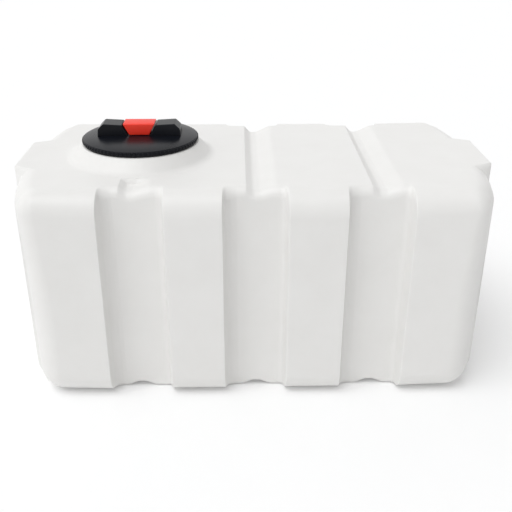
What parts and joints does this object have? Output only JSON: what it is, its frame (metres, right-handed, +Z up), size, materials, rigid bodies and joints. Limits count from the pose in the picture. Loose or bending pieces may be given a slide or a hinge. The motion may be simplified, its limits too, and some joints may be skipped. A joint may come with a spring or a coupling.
{
  "type": "fresh water tank",
  "caption": "Portable moulded tank for drinking water, with strap channels round the body, a ribbed screw lid with a lift-up vent in its grip, and a plugged outlet.",
  "frame": {"origin": "centre of the tank's base, on the floor", "axes": "+X along the length away from the lid, +Y towards the back, +Z up"},
  "size_m": [1.2, 0.631, 0.6331],
  "materials": {
    "white_polyethylene": "satin moulded, white",
    "black_polypropylene": "satin, black",
    "red_plastic": "semi-gloss, red",
    "natural_acetal": "natural",
    "rubber": "black",
    "stainless_steel": "plain stainless",
    "brass": "turned"
  },
  "bodies": {
    "tank": {"tank_shell": "white_polyethylene", "neck_ring": "black_polypropylene", "neck_seal": "rubber", "neck_screw_1": "stainless_steel", "neck_screw_2": "stainless_steel", "neck_screw_3": "stainless_steel", "neck_screw_4": "stainless_steel", "neck_screw_5": "stainless_steel", "neck_screw_6": "stainless_steel", "neck_screw_7": "stainless_steel", "neck_screw_8": "stainless_steel", "outlet_bush": "brass"},
    "lid_seal": {"lid_gasket": "rubber"},
    "lid": {"lid_cover": "black_polypropylene", "vent_screen": "natural_acetal"},
    "vent": {"vent_cap": "red_plastic", "vent_stem": "natural_acetal", "vent_seal": "rubber", "vent_retainer": "natural_acetal"},
    "plug_seal": {"outlet_plug_seal": "rubber"},
    "plug": {"outlet_plug": "black_polypropylene"}
  },
  "joints": [
    {"name": "lid_lift", "type": "slide", "parent": "tank", "child": "lid_seal", "axis": [0, 0, 1], "range_m": [0, 0.0125]},
    {"name": "lid_turn", "type": "hinge", "parent": "lid_seal", "child": "lid", "pos_m": [-0.2935, 0, 0.5886], "axis": [0, 0, 1], "range_deg": [0, 450]},
    {"name": "vent_lift", "type": "slide", "parent": "lid", "child": "vent", "axis": [0, 0, 1], "range_m": [0, 0.008]},
    {"name": "plug_travel", "type": "slide", "parent": "tank", "child": "plug_seal", "axis": [-1, 0, 0], "range_m": [0, 0.01451]},
    {"name": "plug_turn", "type": "hinge", "parent": "plug_seal", "child": "plug", "pos_m": [-0.6, 0, 0.085], "axis": [-1, 0, 0], "range_deg": [0, 2880]}
  ],
  "couplings": [
    {"joint": "lid_lift", "follows": "lid_turn", "m_per_rad": 0.0015915},
    {"joint": "plug_travel", "follows": "plug_turn", "m_per_rad": 0.00028871}
  ]
}
